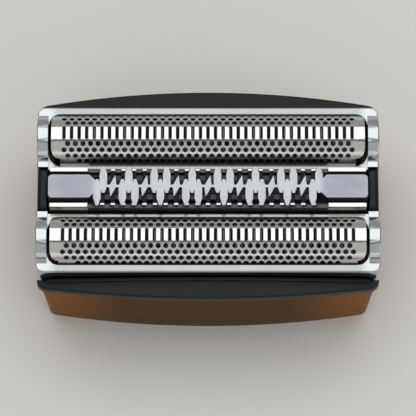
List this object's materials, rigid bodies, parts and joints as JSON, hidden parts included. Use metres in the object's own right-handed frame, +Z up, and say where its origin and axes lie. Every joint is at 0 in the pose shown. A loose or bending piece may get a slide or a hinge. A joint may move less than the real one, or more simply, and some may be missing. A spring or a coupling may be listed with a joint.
{
  "type": "shaver foil head",
  "caption": "Push-fit head of a foil shaver: sprung perforated foils in silver frames beside a middle trimmer comb, oscillating blades under them, black aprons on a dark brown skirt.",
  "frame": {"origin": "middle of the base rim, on the surface the head stands on", "axes": "+X along the foils, +Y towards the rear, +Z up to the foils"},
  "size_m": [0.052, 0.0334, 0.022],
  "materials": {
    "housing_black": "satin black",
    "skirt_brown": "glossy dark brown",
    "silver_plastic": "silver paint on plastic",
    "foil_steel": "thin perforated steel",
    "blade_steel": "ground edges",
    "trimmer_steel": "stamped, bright",
    "spring_steel": "rolled strip",
    "carrier_plastic": "dark grey"
  },
  "bodies": {
    "housing": {"lower_housing": "skirt_brown", "bezel_aprons": "housing_black", "end_posts": "housing_black", "front_foil_springs": "spring_steel", "rear_foil_springs": "spring_steel", "trimmer_springs": "spring_steel"},
    "front_foil_unit": {"front_foil_frame": "silver_plastic", "front_foil": "foil_steel"},
    "front_drive": {"front_drive_bridge": "carrier_plastic", "front_cutter_spring": "spring_steel"},
    "front_cutter": {"front_cutter_carrier": "carrier_plastic", "front_cutter_blades": "blade_steel"},
    "rear_foil_unit": {"rear_foil_frame": "silver_plastic", "rear_foil": "foil_steel"},
    "rear_drive": {"rear_drive_bridge": "carrier_plastic", "rear_cutter_spring": "spring_steel"},
    "rear_cutter": {"rear_cutter_carrier": "carrier_plastic", "rear_cutter_blades": "blade_steel"},
    "trimmer_unit": {"trimmer_frame": "carrier_plastic", "trimmer_guard": "trimmer_steel", "trimmer_rails": "trimmer_steel"},
    "trimmer_blade_unit": {"trimmer_blade": "trimmer_steel", "trimmer_slider": "carrier_plastic"}
  },
  "joints": [
    {"name": "front_foil_float", "type": "slide", "parent": "housing", "child": "front_foil_unit", "axis": [0, 0, 1], "range_m": [-0.0015, 0], "stiffness_N_per_m": 150, "springref_m": 0.003, "deforming": ["front_foil_springs"]},
    {"name": "front_drive_slide", "type": "slide", "parent": "housing", "child": "front_drive", "axis": [1, 0, 0], "range_m": [-0.0012, 0.0012], "stiffness_N_per_m": 400},
    {"name": "front_cutter_float", "type": "slide", "parent": "front_drive", "child": "front_cutter", "axis": [0, 0, 1], "range_m": [-0.0015, 0], "stiffness_N_per_m": 100, "springref_m": 0.003, "deforming": ["front_cutter_spring"]},
    {"name": "rear_foil_float", "type": "slide", "parent": "housing", "child": "rear_foil_unit", "axis": [0, 0, 1], "range_m": [-0.0015, 0], "stiffness_N_per_m": 150, "springref_m": 0.003, "deforming": ["rear_foil_springs"]},
    {"name": "rear_drive_slide", "type": "slide", "parent": "housing", "child": "rear_drive", "axis": [1, 0, 0], "range_m": [-0.0012, 0.0012], "stiffness_N_per_m": 400},
    {"name": "rear_cutter_float", "type": "slide", "parent": "rear_drive", "child": "rear_cutter", "axis": [0, 0, 1], "range_m": [-0.0015, 0], "stiffness_N_per_m": 100, "springref_m": 0.003, "deforming": ["rear_cutter_spring"]},
    {"name": "trimmer_float", "type": "slide", "parent": "housing", "child": "trimmer_unit", "axis": [0, 0, 1], "range_m": [-0.0013, 0], "stiffness_N_per_m": 120, "springref_m": 0.003, "deforming": ["trimmer_springs"]},
    {"name": "trimmer_blade_slide", "type": "slide", "parent": "trimmer_unit", "child": "trimmer_blade_unit", "axis": [1, 0, 0], "range_m": [-0.0012, 0.0012]}
  ],
  "couplings": [
    {"joint": "front_cutter_float", "follows": "front_foil_float", "ratio": 1},
    {"joint": "rear_cutter_float", "follows": "rear_foil_float", "ratio": 1},
    {"joint": "trimmer_blade_slide", "follows": "front_drive_slide", "ratio": 1}
  ]
}
